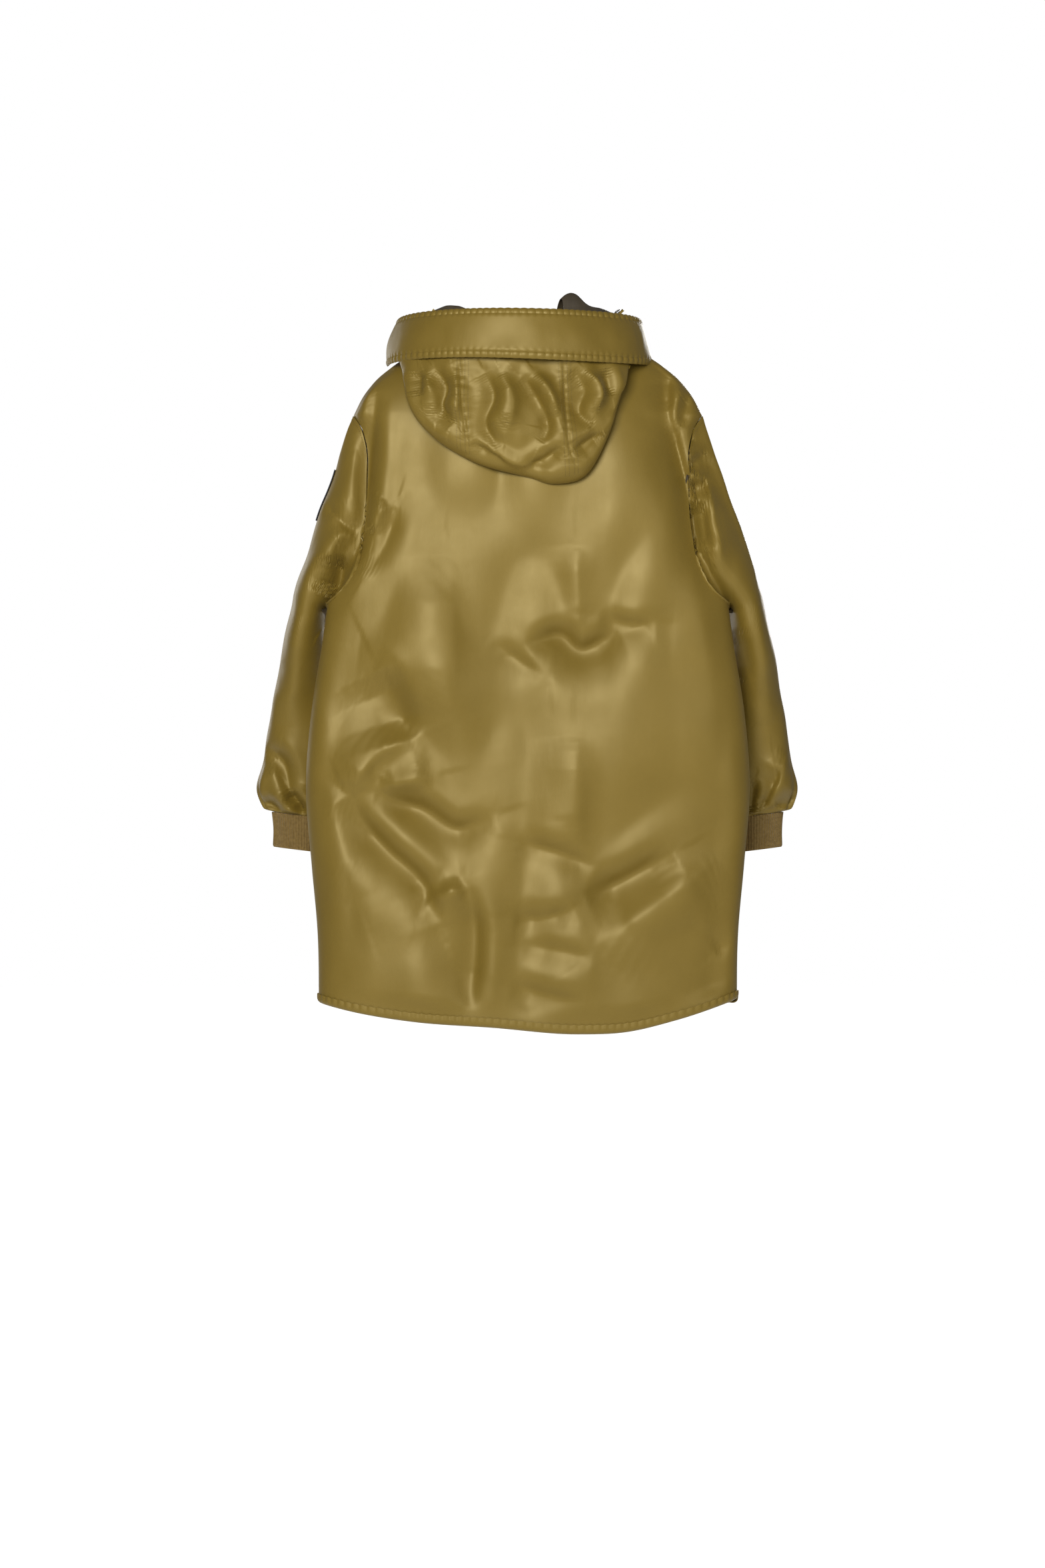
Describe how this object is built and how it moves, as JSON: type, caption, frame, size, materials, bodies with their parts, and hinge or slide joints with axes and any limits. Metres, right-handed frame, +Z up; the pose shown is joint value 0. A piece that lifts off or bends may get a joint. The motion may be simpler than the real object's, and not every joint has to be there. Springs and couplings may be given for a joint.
{
  "type": "hooded parka coat",
  "caption": "Long padded hooded parka with a zip front, storm flap, patch pockets and rib-knit cuffs, hanging closed with its hood down.",
  "frame": {"origin": "middle of the neck opening, where the neck of a coat hanger passes through it", "axes": "+Z up, the front faces -Y, the wearer's left is +X"},
  "size_m": [0.7446, 0.2493, 1.0007],
  "materials": {
    "satin_shell": "satin nylon with a soft sheen and fine twill weave",
    "taffeta_lining": "dark brown taffeta",
    "rib_knit": "matte rib knit",
    "wadding": "white polyester wadding",
    "woven_tape": "woven tape",
    "dark_metal": "dark gunmetal",
    "black_label": "plain black woven label"
  },
  "bodies": {
    "coat_body": {"back_shell": "satin_shell", "back_wadding": "wadding", "back_lining": "taffeta_lining", "front_shell_left": "satin_shell", "front_shell_right": "satin_shell", "front_wadding_left": "wadding", "front_wadding_right": "wadding", "front_lining_left": "taffeta_lining", "front_lining_right": "taffeta_lining", "front_facing_left": "satin_shell", "front_facing_right": "satin_shell", "hem_band_back": "satin_shell", "hem_band_left": "satin_shell", "hem_band_right": "satin_shell", "collar_left": "satin_shell", "collar_right": "satin_shell", "collar_lining_left": "taffeta_lining", "collar_lining_right": "taffeta_lining", "neck_tape": "woven_tape", "hanger_loop": "woven_tape", "zip_tape_left": "woven_tape", "zip_tape_right": "woven_tape", "zip_teeth_left": "dark_metal", "zip_teeth_right": "dark_metal", "zip_top_stops": "dark_metal", "zip_bottom_box": "dark_metal", "storm_snap_studs": "dark_metal", "pocket_left": "satin_shell", "pocket_right": "satin_shell", "pocket_snap_studs_left": "dark_metal", "pocket_snap_studs_right": "dark_metal"},
    "sleeve_left": {"sleeve_back_left": "satin_shell", "sleeve_front_left": "satin_shell", "sleeve_wadding_left": "wadding", "sleeve_lining_left": "taffeta_lining", "rib_cuff_left": "rib_knit", "sleeve_label": "black_label"},
    "sleeve_right": {"sleeve_back_right": "satin_shell", "sleeve_front_right": "satin_shell", "sleeve_wadding_right": "wadding", "sleeve_lining_right": "taffeta_lining", "rib_cuff_right": "rib_knit"},
    "hood": {"hood_center_panel": "satin_shell", "hood_side_left": "satin_shell", "hood_side_right": "satin_shell", "hood_lining_center": "taffeta_lining", "hood_lining_left": "taffeta_lining", "hood_lining_right": "taffeta_lining", "hood_brim": "satin_shell"},
    "zip_slider": {"zip_slider": "dark_metal"},
    "zip_pull": {"zip_pull": "dark_metal"},
    "storm_flap": {"storm_flap": "satin_shell", "storm_snap_caps": "dark_metal", "storm_snap_sockets": "dark_metal"},
    "pocket_flap_left": {"pocket_flap_left": "satin_shell", "pocket_snap_caps_left": "dark_metal"},
    "pocket_flap_right": {"pocket_flap_right": "satin_shell", "pocket_snap_caps_right": "dark_metal"}
  },
  "joints": [
    {"name": "sleeve_left_lift", "type": "hinge", "parent": "coat_body", "child": "sleeve_left", "pos_m": [0.243, 0, -0.108], "axis": [0, -1, 0], "range_deg": [0, 40]},
    {"name": "sleeve_right_lift", "type": "hinge", "parent": "coat_body", "child": "sleeve_right", "pos_m": [-0.243, 0, -0.108], "axis": [0, 1, 0], "range_deg": [0, 40]},
    {"name": "hood_raise", "type": "hinge", "parent": "coat_body", "child": "hood", "pos_m": [0, 0, 0.004], "axis": [1, 0, 0], "range_deg": [0, 110]},
    {"name": "zip_slide", "type": "slide", "parent": "coat_body", "child": "zip_slider", "axis": [0, 0, 1], "range_m": [-0.81, 0]},
    {"name": "pull_swing", "type": "hinge", "parent": "zip_slider", "child": "zip_pull", "pos_m": [0, -0.0859, -0.056], "axis": [-1, 0, 0], "range_deg": [0, 176]},
    {"name": "storm_flap_open", "type": "hinge", "parent": "coat_body", "child": "storm_flap", "pos_m": [0.033, -0.087, -0.504], "axis": [0, 0, 1], "range_deg": [0, 110]},
    {"name": "pocket_flap_left_lift", "type": "hinge", "parent": "coat_body", "child": "pocket_flap_left", "pos_m": [0.14562, -0.07393, -0.545], "axis": [-0.9781, -0.2079, 0], "range_deg": [0, 85]},
    {"name": "pocket_flap_right_lift", "type": "hinge", "parent": "coat_body", "child": "pocket_flap_right", "pos_m": [-0.14562, -0.07393, -0.545], "axis": [-0.9781, 0.2079, 0], "range_deg": [0, 85]}
  ]
}
